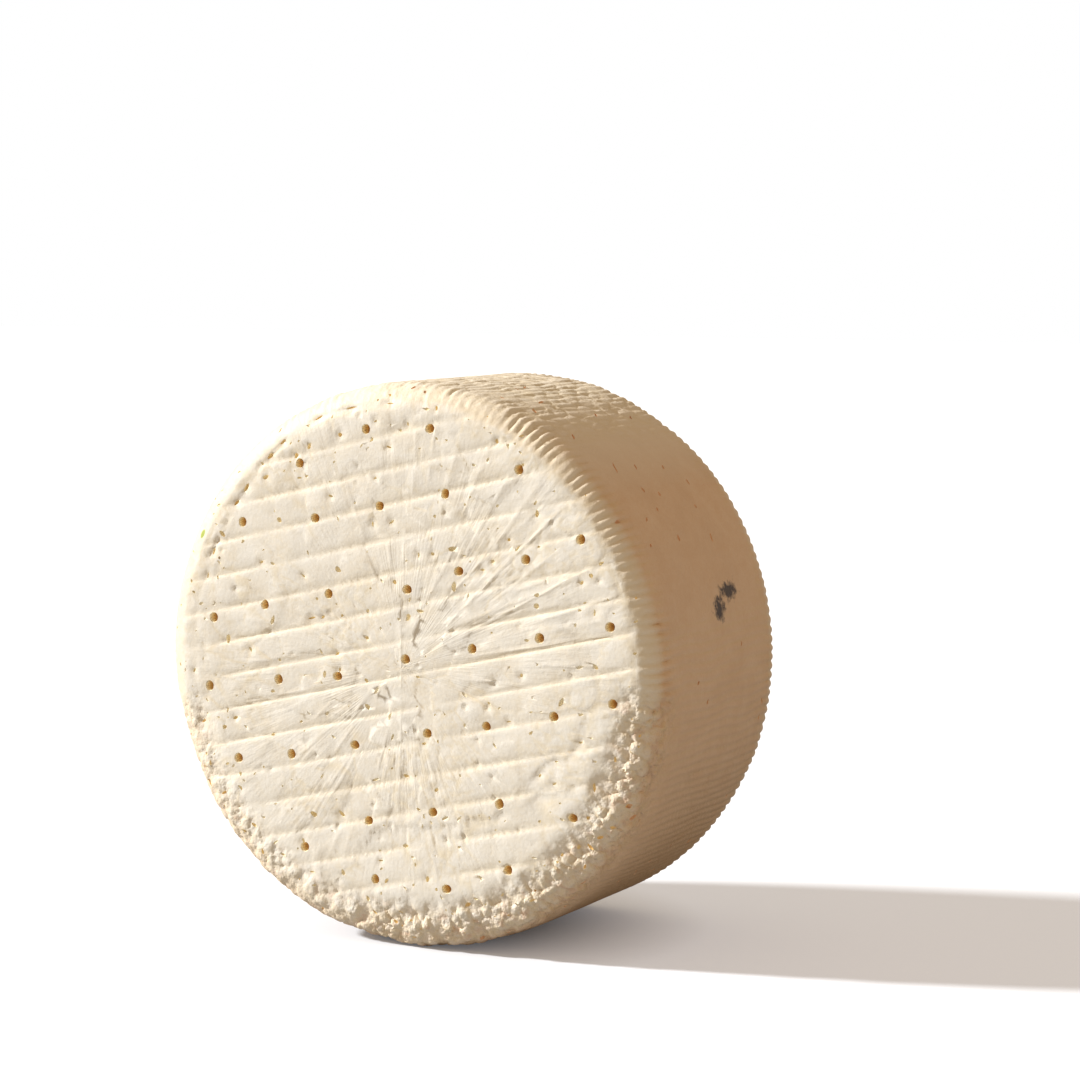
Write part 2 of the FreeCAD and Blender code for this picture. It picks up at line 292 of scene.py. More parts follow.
# Laps, where one layer of curd was pressed over the edge of another: the lower side of
# each line lies deeper. The first is jagged, and the curd under it is drawn into folds.
LAPS = (
    (0.34, 4.0, ((-12, -57), (-0.6, -54.4), (4.1, -53.3), (8.8, -53.9), (13.6, -52.2),
                 (17.5, -51.9), (22.9, -52.1), (25.3, -49.3), (33.8, -48.8), (36.1, -47.6),
                 (40.7, -44.4), (46, -44), (49.8, -40.3), (55.1, -38.4), (60.3, -37.3),
                 (66.3, -34.8))),
    (0.50, 0.8, ((-79, 34), (-76, 38), (-71, 46.5), (-66.9, 53.9), (-63.1, 58.6), (-59.7, 63.6),
                 (-55.9, 67.9), (-52.6, 70.7), (-44.3, 78.6), (-28.9, 86.2), (-17.6, 88.5),
                 (-5.8, 89.9))),
    (0.30, 2.5, ((49, -39.6), (47.5, -36.4), (53.5, -29.8), (58.1, -26.8), (63.3, -25.7),
                 (66.3, -22.1), (67, -18.7), (69.2, -15.2), (70, -12.5))),
    (0.26, 2.5, ((-31.2, -51.3), (-24.3, -52.4), (-22.7, -48.8))),
    (0.22, 3.0, ((-73, -8), (-66, -10), (-60, -14.5), (-50, -15), (-40, -19))),
    (0.22, 3.0, ((20, 62), (26, 58), (27, 52), (33, 50), (36, 44))),
)


def smooth(low, high, value):
    """0 below low, 1 above high and an even curve between."""
    part = np.clip((value - low) / (high - low), 0.0, 1.0)
    return part * part * (3.0 - 2.0 * part)


def rough(points, size, shift=0.0):
    """Smooth noise from about -1 to 1, whose lumps are about size across, in mm."""
    return np.array([noise.noise(Vector(place)) for place in (points / size + shift)])


def grains(points, size, shift=0.0):
    """Curd grains about size across: way to the nearest joint, distance from the middle of
    the grain, both in mm, and a level from -1 to 1 that belongs to the grain."""
    joint, centre, level = np.empty((3, len(points)))
    for k, place in enumerate(points / size + shift):
        distances, middles = noise.voronoi(Vector(place))
        joint[k] = distances[1] - distances[0]
        centre[k] = distances[0]
        level[k] = math.sin(middles[0].x * 91.7 + middles[0].z * 47.3)
    return joint * size, centre * size, level


def window(turn, low, high, fade):
    """1 for angles from low to high, falling to 0 over fade degrees outside them."""
    half = (high - low) / 2
    off = np.abs((turn - (low + high) / 2 + 180.0) % 360.0 - 180.0) - half
    return 1.0 - smooth(0.0, fade, off)


def press(points):
    """How far each point, in mm from the wheel's axis, is pressed in, how deep it lies
    in a joint or crease, and how crumbly the curd is there, both from 0 to 1."""
    x, z = points[:, 0], points[:, 2]
    inward = points[:, 1] + THICKNESS / 2
    reach = np.hypot(x, z)
    turn = np.degrees(np.arctan2(z, x))
    front = 1.0 - smooth(0.5, 5.0, inward)
    back = 1.0 - smooth(0.3, 3.0, THICKNESS - inward)
    face = np.maximum(front, back)
    rim = 1.0 - face
    edge = RADIUS - reach + np.minimum(inward, THICKNESS - inward)
    shoulder = 1.0 - smooth(7.0, 15.0, edge)

    slow = rough(points, 34.0)
    middling = rough(points, 12.0, 7.3)
    quick = rough(points, 4.6, 3.1)
    depth = FACE_LEVEL * face + RIM_LEVEL * rim
    depth += 0.30 * np.maximum(slow + 0.3, 0.0) + 0.10 * middling + 0.02 * quick

    # grains of curd, large ones all over and small ones near the shoulders
    joint, centre, level = grains(points, GRAIN)
    shown = smooth(-0.15, 0.35, rough(points, 17.0, 11.0))
    seam = np.exp(-(joint / 0.45) ** 2) * shown
    depth += (0.07 * level + 0.07 * seam + 0.03 * (centre / 4.0) ** 2) * (0.25 + 0.75 * face)
    small_joint, _, small_level = grains(points, 4.2, 5.0)
    crowded = smooth(0.0, 0.4, rough(points, 26.0, 19.0)) * face + 0.9 * shoulder
    small_seam = np.exp(-(small_joint / 0.38) ** 2) * np.minimum(crowded, 1.0)
    depth += 0.08 * small_seam + 0.04 * small_level * crowded

    # soft-edged pits where whole grains have come away, and dimples round the larger gaps
    _, pit_centre, pit_level = grains(points, 6.4, 37.0)
    pits = 0.7 * (1.0 - smooth(0.3, 1.3, pit_centre + quick)) * (pit_level > 0.4) * face
    for place_x, place_z, length, width, _, _ in LARGE_GAPS:
        wide = 1.0 + 1.4 * max(length, width)
        away = np.hypot(x - place_x, z - place_z)
        pits = np.maximum(pits, 0.75 * np.exp(-(away / (0.62 * wide)) ** 2) * front)
    depth += 0.62 * pits

    # bars of the mat: cushions of curd between sharp valleys, steeper on the lower side
    across = -x * math.sin(MAT_TILT) + z * math.cos(MAT_TILT)
    part = ((across - MAT_OFFSET) / MAT_PITCH) % 1.0
    above, below = part * MAT_PITCH, (1.0 - part) * MAT_PITCH
    valley = np.maximum(np.exp(-above / 1.6), np.exp(-below / 0.5))
    clear = np.clip(0.85 + 0.9 * rough(points, 24.0, 31.0), 0.25, 1.2)
    within = 1.0 - smooth(MAT_EDGE - 1.0, MAT_EDGE + 3.5, reach)
    mat = valley * clear * (0.25 + 0.75 * within) * face
    depth += 0.50 * mat

    # the mat's edge, and the cloth folded over it on the left
    ring = MAT_EDGE + 1.3 * rough(points, 21.0, 41.0)
    hem = np.clip(0.35 + 1.6 * rough(points, 19.0, 43.0), 0.0, 1.0)
    hem = np.maximum(hem, np.maximum(window(turn, 100, 165, 8), window(turn, 3, 24, 6)))
    rim_crease = np.exp(-((reach - ring) / 0.65) ** 2) * hem * face
    left = window(turn, 150, 205, 12)
    for offset in (-7.2, -3.4, 3.2):
        rim_crease += 0.45 * np.exp(-((reach - ring - offset) / 0.55) ** 2) * left * face
    depth += 0.24 * rim_crease * np.clip(0.7 + 1.2 * quick, 0.2, 1.3)

    # cloth creases
    ridge = np.zeros(len(points))
    for start_x, start_z, end_x, end_z, height, half_width in CREASES:
        run_x, run_z = end_x - start_x, end_z - start_z
        length = math.hypot(run_x, run_z)
        along = ((x - start_x) * run_x + (z - start_z) * run_z) / length ** 2
        off = ((x - start_x) * run_z - (z - start_z) * run_x) / length + 0.3 * middling
        fade = smooth(-0.02, 0.30, along) * (1.0 - smooth(0.88, 1.03, along))
        ridge = np.maximum(ridge, height * np.exp(-(off / (0.85 * half_width)) ** 2) * fade)
    ridge *= np.clip(0.9 + 0.5 * rough(points, 7.0, 51.0), 0.35, 1.15)
    depth -= 0.52 * ridge * face

    # laps, and the folds drawn down below the long one
    for height, fade, corners in LAPS:
        nearest = np.full(len(points), 1e9)
        signed = np.zeros(len(points))
        for (start_x, start_z), (end_x, end_z) in zip(corners, corners[1:]):
            run_x, run_z = end_x - start_x, end_z - start_z
            length = math.hypot(run_x, run_z)
            along = ((x - start_x) * run_x + (z - start_z) * run_z) / length ** 2
            along = np.clip(along, 0.0, 1.0)
            away = np.hypot(x - start_x - along * run_x, z - start_z - along * run_z)
            side = (x - start_x) * run_z - (z - start_z) * run_x
            signed = np.where(away < nearest, np.sign(side) * away, signed)
            nearest = np.minimum(away, nearest)
        signed += 0.9 * quick + 0.5 * middling
        below_lap = np.clip(0.85 + 1.2 * quick, 0.1, 1.4)
        below_lap *= np.where(signed > 0.0, np.exp(-signed / fade), np.exp(signed / 0.35))
        depth += height * below_lap * front
    folds = np.exp(-((x - 15.0) / 32.0) ** 4) * smooth(-64.0, -60.0, across)
    folds *= 1.0 - smooth(-52.5, -50.5, across)
    depth += 0.05 * folds * front * np.cos(2.0 * np.pi * (x + 0.12 * z + 1.2 * middling) / 2.6)

    # ribs of the mould: strong teeth on the upper right shoulder, broken by cracks on top
    wander = 0.35 * rough(points, 16.0, 61.0)
    count = turn * RIB_COUNT / 360.0 + wander
    groove = 1.0 - np.abs(np.cos(np.pi * count))
    own = 0.8 + 0.35 * np.sin(np.round(count) * 12.9 + 0.7)
    teeth = window(turn, -4, 62, 8) * (1.0 - smooth(10.0, 15.0, inward))
    outer = smooth(MAT_EDGE - 3.5, MAT_EDGE + 0.5, reach)
    teeth *= outer * (1.0 - 0.5 * smooth(7.0, 11.0, inward))
    top = window(turn, 58, 118, 8) * (1.0 - 0.5 * face)
    far_edge = smooth(THICKNESS - 14.0, THICKNESS - 4.0, inward)
    far_edge *= smooth(MAT_EDGE, MAT_EDGE + 4.0, reach)
    soft_part = window(turn, 196, 352, 8)
    on_rim = smooth(MAT_EDGE + 1.0, MAT_EDGE + 7.0, reach)
    uneven = np.clip(0.75 + 1.1 * rough(points, 8.0, 67.0), 0.15, 1.25)
    rib_depth = 0.11 + 0.08 * slow + 0.22 * window(turn, -62, 4, 8) + 1.10 * teeth * own * uneven
    rib_depth += 0.24 * top * own * uneven + 0.36 * far_edge
    rib_depth *= on_rim * (1.0 - 0.6 * soft_part * (1.0 - far_edge) * smooth(20.0, 5.0, inward))
    depth += np.maximum(rib_depth, 0.0) * groove

    # the top of the rim is lumpy, with cracks across the ribs
    lumps, _, lump_level = grains(points * np.array([1.0, 0.55, 1.0]), 4.6, 9.0)
    cracked = top * rim
    depth += cracked * (0.32 * uneven * np.exp(-(lumps / 0.42) ** 2)
                        + 0.12 * lump_level + 0.15)

    # the lower shoulder crumbled as the wheel was turned out
    crumbly = window(turn, 265, 352, 12) + 0.6 * window(turn, 196, 265, 10)
    crumbly = np.minimum(crumbly, 1.0) * (1.0 - smooth(9.0, 21.0, RADIUS - reach + inward))
    crumb_joint, crumb_centre, crumb_level = grains(points, 3.9, 23.0)
    loose = np.clip(0.6 + 1.4 * rough(points, 9.0, 71.0), 0.0, 1.2)
    crumbs = 0.5 + 0.42 * crumb_level + 0.25 * (crumb_centre / 2.0) ** 2
    depth += crumbly * (0.95 * crumbs + 0.55 * loose * np.exp(-(crumb_joint / 0.45) ** 2)
                        + 0.45 * quick + 0.5 * (1.0 + middling))

    hollow = np.maximum.reduce([
        0.55 * mat, 0.7 * seam * face, 0.6 * small_seam, 0.6 * np.minimum(rim_crease, 1.0),
        0.8 * np.minimum(teeth + 0.4 * top, 1.0) * groove ** 2,
        0.9 * crumbly * np.exp(-(crumb_joint / 0.5) ** 2), 0.8 * pits ** 2,
        0.5 * window(turn, -62, 8, 8) * on_rim * rim * groove ** 2,
        0.6 * cracked * np.exp(-(lumps / 0.6) ** 2),
    ])
    return np.maximum(depth, 0.0), np.clip(hollow, 0.0, 1.0), crumbly


def read_points(mesh):
    """The mesh's points in mm from the middle of the wheel's axis."""
    points = np.empty(len(mesh.vertices) * 3)
    mesh.vertices.foreach_get("co", points)
    return points.reshape(-1, 3) / MM - np.array([0.0, 0.0, AXIS])


def write_points(mesh, points):
    """Put points given like that back into the mesh, none of them below the floor."""
    points = points + np.array([0.0, 0.0, AXIS])
    points[:, 2] = np.maximum(points[:, 2], 0.0)
    mesh.vertices.foreach_set("co", (points * MM).ravel())
    mesh.update()


TRIANGLES_LEFT = 137000      # the cuts below add about 50,000
drum = read_points(wheel.data)
normals = np.empty(len(wheel.data.vertices) * 3)
wheel.data.vertices.foreach_get("normal", normals)
depth, _, _ = press(drum)
write_points(wheel.data, drum - normals.reshape(-1, 3) * depth[:, None])
thin = wheel.modifiers.new("thin", "DECIMATE")
thin.ratio = TRIANGLES_LEFT / (2 * len(wheel.data.polygons))
bpy.ops.object.modifier_apply(modifier="thin")


# ---- needle holes and open joints ----
# Steel needles pierced the wheel from face to face to let air to the blue mould. Where
# grains of curd never met, small angular gaps are left open in the skin.
NEEDLE_PITCH = 26.3
NEEDLE_TILT = math.radians(11.4)
NEEDLE_RING = RADIUS - 18.5
NEEDLE_OFFSET = (1.9, 3.7)
NEEDLE_RADIUS = 1.5
FRONT_GAPS, BACK_GAPS, SMALL_RIM_GAPS = 330, 200, 150
STRAY_NEEDLES = {
    (0, 1): (6.0, -2.0), (2, -2): (-2.0, -5.0), (3, 1): (-2.0, 4.5), (-1, 3): (-3.0, -3.5),
    (-2, -2): (2.5, -2.5), (-3, 0): (-3.0, 1.0), (0, -1): (3.0, 1.0), (-1, -3): (-3.0, 1.5),
    (-1, 0): (-1.5, -2.5),
}
needle_places = []
for i in range(-3, 4):
    for j in range(-3, 4):
        square = i * i + j * j
        if square <= 5:
            scale = NEEDLE_PITCH
        elif 8 <= square <= 10:
            scale = NEEDLE_RING / math.sqrt(square)
        else:
            continue
        stray = STRAY_NEEDLES.get((i, j), (0.0, 0.0))
        across = scale * (i * math.cos(NEEDLE_TILT) - j * math.sin(NEEDLE_TILT))
        upward = scale * (i * math.sin(NEEDLE_TILT) + j * math.cos(NEEDLE_TILT))
        needle_places.append((across + NEEDLE_OFFSET[0] + stray[0],
                              upward + NEEDLE_OFFSET[1] + stray[1]))

dice = random.Random(13)
skin = BVHTree.FromObject(wheel, bpy.context.evaluated_depsgraph_get())
gap_mesh = bmesh.new()
gaps_made = []


def open_gap(place, way_in, length, width, deep, turn):
    """Add one angular gap, in mm, where a line from place along way_in meets the skin,
    unless it would run into another."""
    start = Vector(place) * MM + Vector((0.0, 0.0, AXIS * MM))
    hit, normal, _, _ = skin.ray_cast(start, Vector(way_in))
    size = 1.3 * max(length, width, deep) * MM
    if hit is None or any((hit - other).length < size + room for other, room in gaps_made):
        return
    gaps_made.append((hit, size))
    facing = normal.to_track_quat("Z", "Y").to_matrix().to_4x4()
    place_it = Matrix.Translation(hit) @ facing @ Matrix.Rotation(turn, 4, "Z")
    corners = bmesh.ops.create_icosphere(gap_mesh, subdivisions=1, radius=1.0)["verts"]
    for corner in corners:
        corner.co *= dice.uniform(0.6, 1.3)
        corner.co = place_it @ Vector((corner.co.x * length * MM, corner.co.y * width * MM,
                                       corner.co.z * deep * MM))


def farthest_from_middles(places):
    """Of these places, the one that lies deepest between the grains."""
    _, centre, _ = grains(np.array(places), GRAIN)
    return places[int(np.argmax(centre))]


taken = [(x, z, -1) for x, z in needle_places] + [(x, z, 1) for x, z in needle_places]
for x, z, length, width, deep, turn in LARGE_GAPS:
    open_gap((x, -THICKNESS, z), (0, 1, 0), length, width, deep, math.radians(turn))
    taken.append((x, z, -1))
for side in (-1, 1):
    made = 0
    while made < (FRONT_GAPS if side < 0 else BACK_GAPS):
        reach, turn = 92.0 * math.sqrt(dice.random()), dice.uniform(0.0, math.tau)
        if made % 3 == 0:
            reach, turn = dice.gauss(MAT_EDGE - 2.0, 4.5), math.radians(dice.uniform(60.0, 330.0))
        near = [(reach * math.cos(turn) + dice.uniform(-4, 4), side * THICKNESS / 2,
                 reach * math.sin(turn) + dice.uniform(-4, 4)) for _ in range(10)]
        x, _, z = farthest_from_middles(near)
        if any(side == s and math.hypot(x - a, z - b) < 2.6 for a, b, s in taken):
            continue
        taken.append((x, z, side))
        made += 1
        size = min(0.28 * math.exp(0.6 * dice.gauss(0.0, 1.0)) + 0.18, 1.2)
        open_gap((x, side * THICKNESS, z), (0, -side, 0), size * dice.uniform(1.0, 2.6),
                 size, size * dice.uniform(0.7, 1.3), dice.uniform(0.0, math.pi))

# Cracks and gaps on the right side of the rim: angle up from +X, way in from the show
# face, half length, half width and turn from the wheel's axis.
RIM_GAPS = (
    (27.9, 38, 1.7, 1.0, 70), (39.5, 33, 1.6, 0.9, 80), (45.5, 26, 3.2, 0.6, 62),
    (43.0, 29, 1.8, 0.8, 40), (26.9, 62, 2.4, 0.7, 75), (33.8, 62, 1.1, 0.7, 80),
    (39.5, 68, 1.4, 0.7, 75), (44.0, 59, 1.1, 0.6, 60), (45.0, 40, 1.8, 0.6, 55),
    (38.0, 42, 1.2, 0.8, 70), (34.7, 34, 1.0, 0.7, 70), (33.0, 23, 1.5, 0.6, 40),
    (27.6, 17, 1.1, 0.6, 50), (33.9, 6, 1.2, 0.8, 40), (55.0, 20, 2.2, 0.6, 45),
    (61.0, 53, 2.0, 0.6, 40), (59.0, 74, 1.6, 0.6, 40), (-5.4, 39, 1.4, 0.6, 60),
    (-1.0, 31, 1.3, 0.6, 50), (4.4, 65, 1.2, 0.5, 60), (-8.9, 85, 1.6, 0.6, 80),
    (-12.3, 85, 1.1, 0.5, 80), (-24.9, 4, 2.2, 1.3, 40), (-27.5, 7, 1.8, 1.1, 60),
    (65.0, 20, 2.6, 1.0, 30), (68.0, 33, 2.4, 0.7, 20),
)
for turn, inward, length, width, slant in RIM_GAPS:
    turn = math.radians(turn)
    out = (math.cos(turn), 0.0, math.sin(turn))
    open_gap((out[0] * 2 * RADIUS, inward - THICKNESS / 2, out[2] * 2 * RADIUS),
             (-out[0], 0.0, -out[2]), length, width, dice.uniform(0.7, 1.1), math.radians(slant))
for _ in range(SMALL_RIM_GAPS):
    turn = math.radians(dice.uniform(70.0, 330.0))
    inward = dice.uniform(7.0, THICKNESS - 6.0)
    out = (math.cos(turn), 0.0, math.sin(turn))
    size = min(0.35 * math.exp(0.4 * dice.gauss(0.0, 1.0)) + 0.12, 1.1)
    if out[2] * RADIUS > -AXIS + 3.0:
        open_gap((out[0] * 2 * RADIUS, inward - THICKNESS / 2, out[2] * 2 * RADIUS),
                 (-out[0], 0.0, -out[2]), size * dice.uniform(1.2, 3.5), size,
                 size * dice.uniform(0.9, 1.4), math.radians(dice.gauss(60.0, 25.0)))

open_curd = bpy.data.materials.new("open_curd")
rind = bpy.data.materials.new("cheese_rind")
wheel.data.materials.append(rind)


def cut_away(name, mesh):
    """Cut a closed mesh out of the wheel; the walls that it leaves are open curd. A plain
    cut sometimes comes out empty, and then the slower cut that allows overlaps is made."""
    cutter = bpy.data.objects.new(name, mesh)
    bpy.context.collection.objects.link(cutter)
    mesh.materials.append(open_curd)
    cut = wheel.modifiers.new(name, "BOOLEAN")
    cut.object = cutter
    cut.solver = "EXACT"
    cut.material_mode = "TRANSFER"
    cut_wheel = wheel.evaluated_get(bpy.context.evaluated_depsgraph_get())
    cut.use_self = len(cut_wheel.data.polygons) == 0
    bpy.ops.object.modifier_apply(modifier=name)
    bpy.data.objects.remove(cutter)


gap_blanks = bpy.data.meshes.new("gaps")
bmesh.ops.recalc_face_normals(gap_mesh, faces=gap_mesh.faces)
gap_mesh.to_mesh(gap_blanks)
gap_mesh.free()
cut_away("gaps", gap_blanks)

# one needle as long as the wheel is thick and a little more, with a mouth at either end
bpy.ops.object.select_all(action="DESELECT")
bpy.ops.mesh.primitive_cylinder_add(vertices=18, radius=NEEDLE_RADIUS * MM,
                                    end_fill_type="NGON", depth=(THICKNESS + 6.0) * MM,
                                    location=(0.0, 0.0, 0.0), rotation=(math.pi / 2, 0.0, 0.0))
needle = bpy.context.object
bpy.ops.object.transform_apply(location=False, rotation=True, scale=False)
bpy.ops.object.mode_set(mode="EDIT")
for place in (0.6, 1.3, 3.0, 8.0, 20.0):
    for side in (-1, 1):
        bpy.ops.mesh.select_all(action="SELECT")
        bpy.ops.mesh.bisect(plane_co=(0.0, side * (THICKNESS / 2 - place) * MM, 0.0),
                            plane_no=(0.0, 1.0, 0.0))
bpy.ops.object.mode_set(mode="OBJECT")
needle_board = bmesh.new()
for x, z in needle_places:
    first = len(needle_board.verts)
    needle_board.from_mesh(needle.data)
    needle_board.verts.ensure_lookup_table()
    squash, lean = dice.uniform(0.92, 1.08), dice.uniform(-0.5, 0.5)
    for vertex in needle_board.verts[first:]:
        place = vertex.co / MM
        down = THICKNESS / 2 - abs(place.y)
        flare = 1.0 + 0.26 * math.exp(-max(down - 0.55, 0.0) / 0.35)
        shake = 1.0 + 0.04 * math.sin(5.1 * place.x + 3.3 * place.z + 0.9 * down + x)
        vertex.co = Vector((place.x * flare * shake * squash + x + 0.3 * flare * lean,
                            place.y, place.z * flare * shake / squash + z + AXIS)) * MM
needle_blanks = bpy.data.meshes.new("needles")
needle_board.to_mesh(needle_blanks)
needle_board.free()
bpy.data.objects.remove(needle)
bpy.context.view_layer.objects.active = wheel
wheel.select_set(True)
cut_away("needles", needle_blanks)
bpy.ops.object.select_all(action="DESELECT")
wheel.select_set(True)
bpy.ops.object.mode_set(mode="EDIT")
bpy.ops.mesh.select_all(action="SELECT")
bpy.ops.mesh.delete_loose()
bpy.ops.object.mode_set(mode="OBJECT")
bpy.ops.object.shade_smooth_by_angle(angle=math.radians(55.0))


# ---- the wheel: finish ----
# The skin is matt, pale cream curd, a little warmer on the rim, partly its own drier colour
# and partly painted warm shade, paler on top with painted light, and tinted golden in creases
# and on the sides of marks with painted shade. Broken curd is golden, painted light that comes
# through it, and brown deep in a hole, painted shade.
_, hollow, crumbly = press(read_points(wheel.data))
# how deep each point lies in a joint or crease, kept for the painted shade in them
deep_mark = wheel.data.attributes.new("hollow", "FLOAT", "POINT")
deep_mark.data.foreach_set("value", hollow.astype(np.float32))
crumb_mark = wheel.data.attributes.new("crumbly", "FLOAT", "POINT")
crumb_mark.data.foreach_set("value", crumbly.astype(np.float32))


def blend_colours(tree, at, factor, under, over):
    """Mix two colours; each of the three is a socket or a plain value."""
    node = put(tree, "ShaderNodeMix", at, data_type="RGBA")
    for socket, value in ((0, factor), (6, under), (7, over)):
        if isinstance(value, bpy.types.NodeSocket):
            tree.links.new(value, node.inputs[socket])
        else:
            node.inputs[socket].default_value = value
    return node.outputs[2]


def ramp(tree, at, source, stops):
    """A colour ramp with these (place, colour) stops."""
    node = put(tree, "ShaderNodeValToRGB", at)
    band = node.color_ramp
    while len(band.elements) < len(stops):
        band.elements.new(0.5)
    for element, (place, colour) in zip(band.elements, stops):
        element.position = place
        element.color = colour
    tree.links.new(source, node.inputs["Fac"])
    return node.outputs["Color"]


# the grain of pressed curd, shared by the skin and the broken curd
grain = bpy.data.node_groups.new("curd_grain", "ShaderNodeTree")
grain.interface.new_socket("Vector", in_out="INPUT", socket_type="NodeSocketVector")
grain.interface.new_socket("Size", in_out="INPUT", socket_type="NodeSocketFloat")
grain.interface.new_socket("Tone", in_out="OUTPUT", socket_type="NodeSocketFloat")
grain.interface.new_socket("Relief", in_out="OUTPUT", socket_type="NodeSocketFloat")
enter = put(grain, "NodeGroupInput", (-800, 0))
leave = put(grain, "NodeGroupOutput", (600, 0))
sized = put(grain, "ShaderNodeVectorMath", (-600, 0), operation="SCALE")
grain.links.new(enter.outputs["Vector"], sized.inputs[0])
grain.links.new(enter.outputs["Size"], sized.inputs["Scale"])
broad = put(grain, "ShaderNodeTexNoise", (-350, 200), {"Scale": 0.16, "Detail": 4.0})
speckle = put(grain, "ShaderNodeTexNoise", (-350, -50),
              {"Scale": 0.9, "Detail": 5.0, "Roughness": 0.6})
granules = put(grain, "ShaderNodeTexVoronoi", (-350, -300), {"Scale": 0.55},
               feature="SMOOTH_F1")
for texture in (broad, speckle, granules):
    grain.links.new(sized.outputs[0], texture.inputs["Vector"])
tone = put(grain, "ShaderNodeMath", (0, 150), {1: 0.45}, operation="MULTIPLY_ADD")
grain.links.new(speckle.outputs["Fac"], tone.inputs[0])
spread = put(grain, "ShaderNodeMath", (-150, 250), {1: 0.55}, operation="MULTIPLY")
grain.links.new(broad.outputs["Fac"], spread.inputs[0])
grain.links.new(spread.outputs[0], tone.inputs[2])
grain.links.new(tone.outputs[0], leave.inputs["Tone"])
relief = put(grain, "ShaderNodeMath", (0, -150), {1: -0.45}, operation="MULTIPLY_ADD")
grain.links.new(granules.outputs["Distance"], relief.inputs[0])
grain.links.new(speckle.outputs["Fac"], relief.inputs[2])
grain.links.new(relief.outputs[0], leave.inputs["Relief"])


def from_axis(tree):
    """Object coordinates moved to the middle of the wheel's axis and read in mm."""
    source = put(tree, "ShaderNodeTexCoord", (-1800, 0))
    scaled = put(tree, "ShaderNodeMapping", (-1600, 0),
                 {"Location": (0.0, 0.0, -AXIS), "Scale": (1000.0, 1000.0, 1000.0)})
    tree.links.new(source.outputs["Object"], scaled.inputs["Vector"])
    return scaled.outputs[0]


def maths(tree, at, operation, *values):
    """One sum on sockets and numbers."""
    node = put(tree, "ShaderNodeMath", at, operation=operation)
    for k, value in enumerate(values):
        if isinstance(value, bpy.types.NodeSocket):
            tree.links.new(value, node.inputs[k])
        else:
            node.inputs[k].default_value = value
    return node.outputs[0]


# the skin
rind.use_nodes = True
tree = rind.node_tree
skin_shader = tree.nodes["Principled BSDF"]
spot = from_axis(tree)
own_grain = put(tree, "ShaderNodeGroup", (-1300, 300), node_tree=grain)
own_grain.inputs["Size"].default_value = 1.0
tree.links.new(spot, own_grain.inputs["Vector"])
parts = put(tree, "ShaderNodeSeparateXYZ", (-1300, 0))
tree.links.new(spot, parts.inputs[0])
cream = ramp(tree, (-1000, 400), own_grain.outputs["Tone"], (
    (0.30, (0.875, 0.815, 0.700, 1.0)),
    (0.50, (0.890, 0.860, 0.785, 1.0)),
    (0.70, (0.900, 0.888, 0.845, 1.0)),
))

# the rim is warmer, in clouds, partly its own drier colour and partly painted warm shade,
# and paler on top, which is painted light where the lamp falls on it
far = maths(tree, (-1100, 0), "ABSOLUTE", parts.outputs["Y"])
rim_dried_and_shaded = put(tree, "ShaderNodeMapRange", (-900, 0),
            {"From Min": THICKNESS / 2 - 1.0, "From Max": THICKNESS / 2 - 7.0})
tree.links.new(far, rim_dried_and_shaded.inputs["Value"])
rim_cream_painted_light_and_shade = ramp(tree, (-1000, 150), own_grain.outputs["Tone"], (
    (0.30, (0.800, 0.560, 0.375, 1.0)),
    (0.70, (0.860, 0.640, 0.460, 1.0)),
))
clouds = put(tree, "ShaderNodeTexNoise", (-1300, 600),
             {"Scale": 0.05, "Detail": 4.0, "Roughness": 0.6})
tree.links.new(spot, clouds.inputs["Vector"])
cloudy = put(tree, "ShaderNodeMapRange", (-1100, 600),
             {"From Min": 0.45, "From Max": 0.75, "To Max": 0.55})
tree.links.new(clouds.outputs["Fac"], cloudy.inputs["Value"])
rim_cream_painted_light_and_shade = blend_colours(tree, (-900, 500), cloudy.outputs[0], rim_cream_painted_light_and_shade,
                           (0.740, 0.520, 0.355, 1.0))
# painted light: the top of the rim is made paler, where the lamp falls on it
painted_top_light = put(tree, "ShaderNodeMapRange", (-900, 600), {"From Min": 60.0, "From Max": 92.0})
tree.links.new(parts.outputs["Z"], painted_top_light.inputs["Value"])
rim_cream_painted_light_and_shade = blend_colours(tree, (-750, 600), painted_top_light.outputs[0], rim_cream_painted_light_and_shade,
                           (0.910, 0.850, 0.735, 1.0))
skin_colour = blend_colours(tree, (-650, 300), rim_dried_and_shaded.outputs[0], cream, rim_cream_painted_light_and_shade)

# painted shade: golden down in joints and creases, standing in for the warm shade there
hollows = put(tree, "ShaderNodeAttribute", (-900, -250), attribute_name="hollow")
painted_crease_shade = maths(tree, (-650, -200), "MULTIPLY", hollows.outputs["Fac"], 0.50)
skin_colour = blend_colours(tree, (-450, 300), painted_crease_shade, skin_colour, (0.800, 0.640, 0.340, 1.0))

# painted shade: the sloping sides of the marks on the faces are tinted warmer than the flat
# tops, standing in for the warm shade on them
facing = put(tree, "ShaderNodeSeparateXYZ", (-900, -300))
tree.links.new(put(tree, "ShaderNodeTexCoord", (-1100, -300)).outputs["Normal"], facing.inputs[0])
slope_for_painted_shade = put(tree, "ShaderNodeMapRange", (-700, -300),
              {"From Min": 0.997, "From Max": 0.880, "To Max": 0.62})
tree.links.new(maths(tree, (-800, -300), "ABSOLUTE", facing.outputs["Y"]), slope_for_painted_shade.inputs["Value"])
on_face = maths(tree, (-700, -350), "SUBTRACT", 1.0, rim_dried_and_shaded.outputs[0])
painted_side_shade = maths(tree, (-600, -300), "MULTIPLY", slope_for_painted_shade.outputs[0], on_face)
skin_colour = blend_colours(tree, (-420, 250), painted_side_shade, skin_colour, (0.900, 0.765, 0.550, 1.0))

